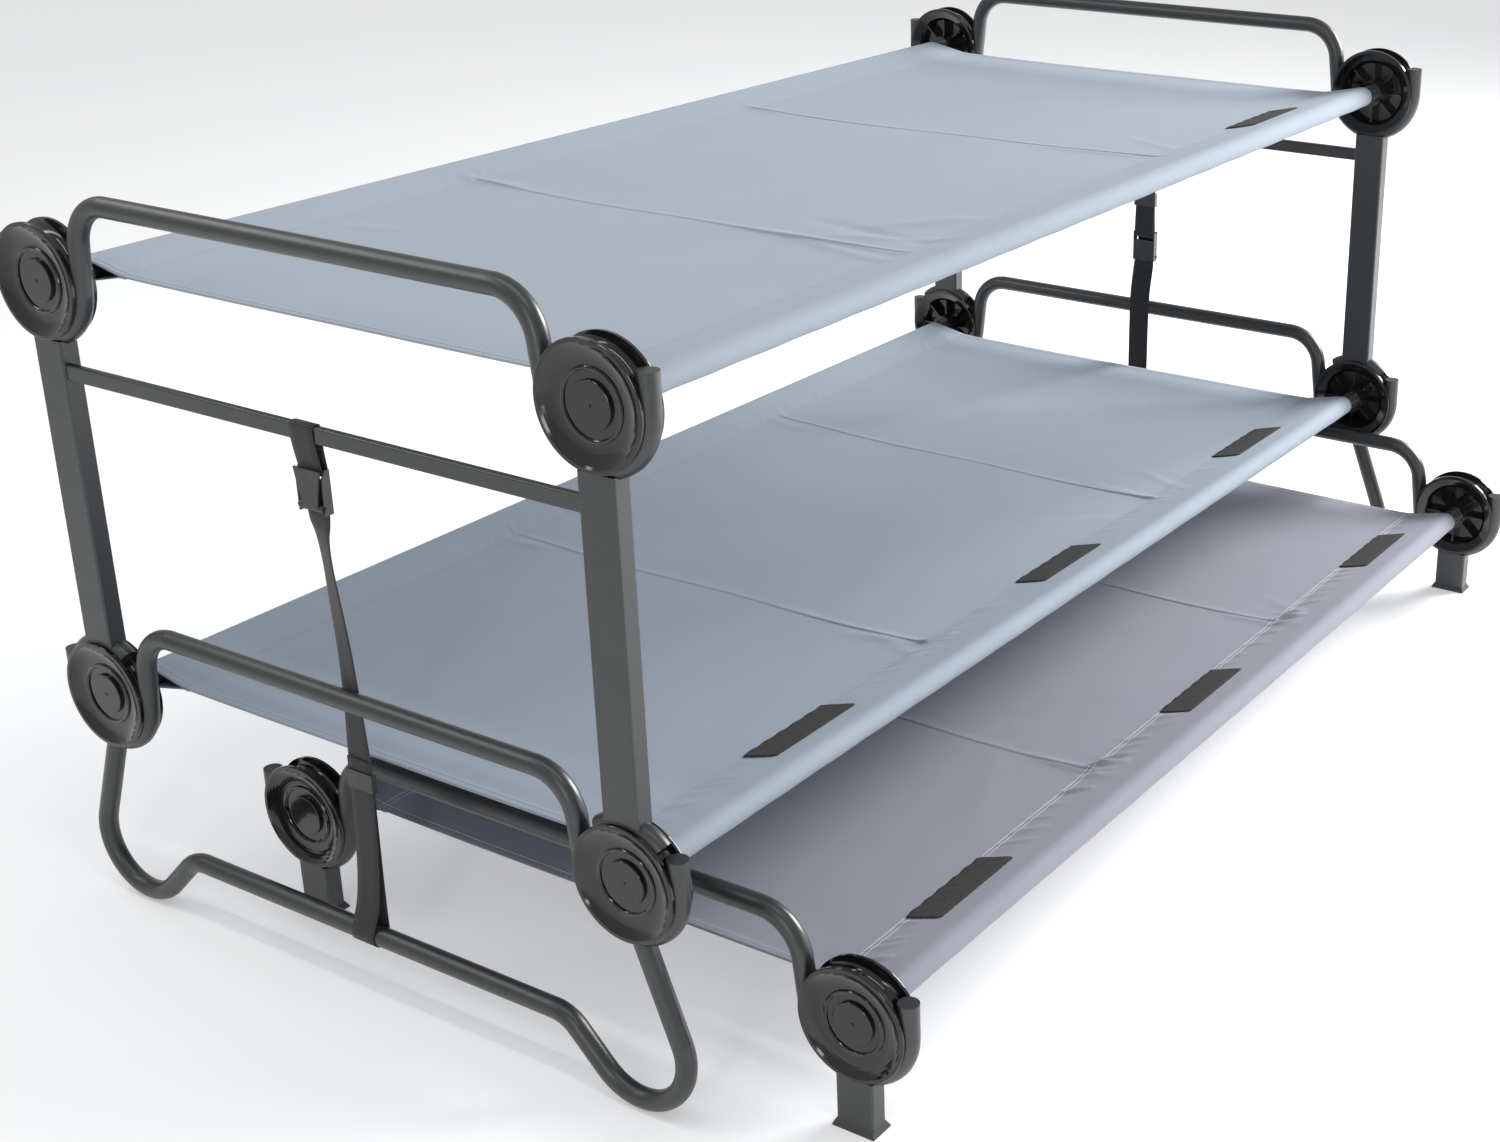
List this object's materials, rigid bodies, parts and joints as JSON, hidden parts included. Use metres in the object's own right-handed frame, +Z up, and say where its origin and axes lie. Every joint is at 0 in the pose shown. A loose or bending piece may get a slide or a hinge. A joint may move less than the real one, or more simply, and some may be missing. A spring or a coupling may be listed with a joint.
{
  "type": "camp cot",
  "caption": "Bunk camp cot: fabric decks on round side rails whose grooved discs sit in hooked end rails, on posts and bent foot tubes, with a low trundle cot that slides out at the front.",
  "frame": {"origin": "on the floor, under the middle of the whole: bunk and pulled-out trundle together", "axes": "+X along the cots from the near end to the far end, +Y across them from the trundle side to the back, +Z up"},
  "size_m": [1.98, 1.2452, 0.9567],
  "materials": {
    "steel_tube": "satin dark grey powder coat",
    "disc_plastic": "semi-gloss black moulded nylon",
    "bright_steel": "bright zinc-plated steel",
    "deck_fabric": "coated plain-weave polyester, blue-grey",
    "trundle_fabric": "coated plain-weave polyester, grey, white stitching",
    "foot_plastic": "fine-textured dark grey",
    "webbing": "black woven webbing",
    "buckle_metal": "black coated steel"
  },
  "bodies": {
    "bunk_frame": {"upper_deck": "deck_fabric", "upper_near_end_rail": "steel_tube", "upper_far_end_rail": "steel_tube", "lower_deck": "deck_fabric", "lower_near_end_rail": "steel_tube", "lower_far_end_rail": "steel_tube", "front_near_post": "steel_tube", "front_far_post": "steel_tube", "back_near_post": "steel_tube", "back_far_post": "steel_tube", "near_crossbar": "steel_tube", "near_foot_tube": "steel_tube", "near_strap_webbing": "webbing", "near_strap_buckle": "buckle_metal", "near_strap_slide": "buckle_metal", "far_crossbar": "steel_tube", "far_foot_tube": "steel_tube", "far_strap_webbing": "webbing", "far_strap_buckle": "buckle_metal", "far_strap_slide": "buckle_metal"},
    "trundle_frame": {"trundle_deck": "trundle_fabric", "trundle_near_end_rail": "steel_tube", "trundle_far_end_rail": "steel_tube", "trundle_front_near_leg": "steel_tube", "trundle_front_far_leg": "steel_tube", "trundle_back_near_leg": "steel_tube", "trundle_back_far_leg": "steel_tube", "trundle_foot_plates": "foot_plastic"},
    "upper_front_rail": {"upper_front_rail_ends": "bright_steel", "upper_front_rail_middle": "bright_steel", "upper_front_disc_pins": "bright_steel", "upper_front_near_disc": "disc_plastic", "upper_front_far_disc": "disc_plastic"},
    "upper_back_rail": {"upper_back_rail_ends": "bright_steel", "upper_back_rail_middle": "bright_steel", "upper_back_disc_pins": "bright_steel", "upper_back_near_disc": "disc_plastic", "upper_back_far_disc": "disc_plastic"},
    "lower_front_rail": {"lower_front_rail_ends": "bright_steel", "lower_front_rail_middle": "bright_steel", "lower_front_disc_pins": "bright_steel", "lower_front_near_disc": "disc_plastic", "lower_front_far_disc": "disc_plastic"},
    "lower_back_rail": {"lower_back_rail_ends": "bright_steel", "lower_back_rail_middle": "bright_steel", "lower_back_disc_pins": "bright_steel", "lower_back_near_disc": "disc_plastic", "lower_back_far_disc": "disc_plastic"},
    "trundle_front_rail": {"trundle_front_rail_ends": "bright_steel", "trundle_front_rail_middle": "bright_steel", "trundle_front_disc_pins": "bright_steel", "trundle_front_near_disc": "disc_plastic", "trundle_front_far_disc": "disc_plastic"},
    "trundle_back_rail": {"trundle_back_rail_ends": "bright_steel", "trundle_back_rail_middle": "bright_steel", "trundle_back_disc_pins": "bright_steel", "trundle_back_near_disc": "disc_plastic", "trundle_back_far_disc": "disc_plastic"},
    "near_lever": {"near_strap_lever": "buckle_metal"},
    "far_lever": {"far_strap_lever": "buckle_metal"}
  },
  "joints": [
    {"name": "trundle_slide", "type": "slide", "parent": "bunk_frame", "child": "trundle_frame", "axis": [0, -1, 0], "range_m": [-0.222, 0.81]},
    {"name": "upper_front_rail_turn", "type": "hinge", "parent": "bunk_frame", "child": "upper_front_rail", "pos_m": [0, -0.321, 0.842], "axis": [1, 0, 0], "continuous": true},
    {"name": "upper_back_rail_turn", "type": "hinge", "parent": "bunk_frame", "child": "upper_back_rail", "pos_m": [0, 0.543, 0.842], "axis": [1, 0, 0], "continuous": true},
    {"name": "lower_front_rail_turn", "type": "hinge", "parent": "bunk_frame", "child": "lower_front_rail", "pos_m": [0, -0.321, 0.3], "axis": [1, 0, 0], "continuous": true},
    {"name": "lower_back_rail_turn", "type": "hinge", "parent": "bunk_frame", "child": "lower_back_rail", "pos_m": [0, 0.543, 0.3], "axis": [1, 0, 0], "continuous": true},
    {"name": "trundle_front_rail_turn", "type": "hinge", "parent": "trundle_frame", "child": "trundle_front_rail", "pos_m": [0.029, -0.543, 0.141], "axis": [1, 0, 0], "continuous": true},
    {"name": "trundle_back_rail_turn", "type": "hinge", "parent": "trundle_frame", "child": "trundle_back_rail", "pos_m": [0.029, 0.321, 0.141], "axis": [1, 0, 0], "continuous": true},
    {"name": "near_lever_turn", "type": "hinge", "parent": "bunk_frame", "child": "near_lever", "pos_m": [-0.9786, 0.111, 0.644], "axis": [0, -1, 0], "range_deg": [0, 75], "stiffness_Nm_per_rad": 0.05, "springref_deg": -34.38},
    {"name": "far_lever_turn", "type": "hinge", "parent": "bunk_frame", "child": "far_lever", "pos_m": [0.9786, 0.111, 0.49704], "axis": [0, 1, 0], "range_deg": [0, 75], "stiffness_Nm_per_rad": 0.05, "springref_deg": -34.38}
  ]
}
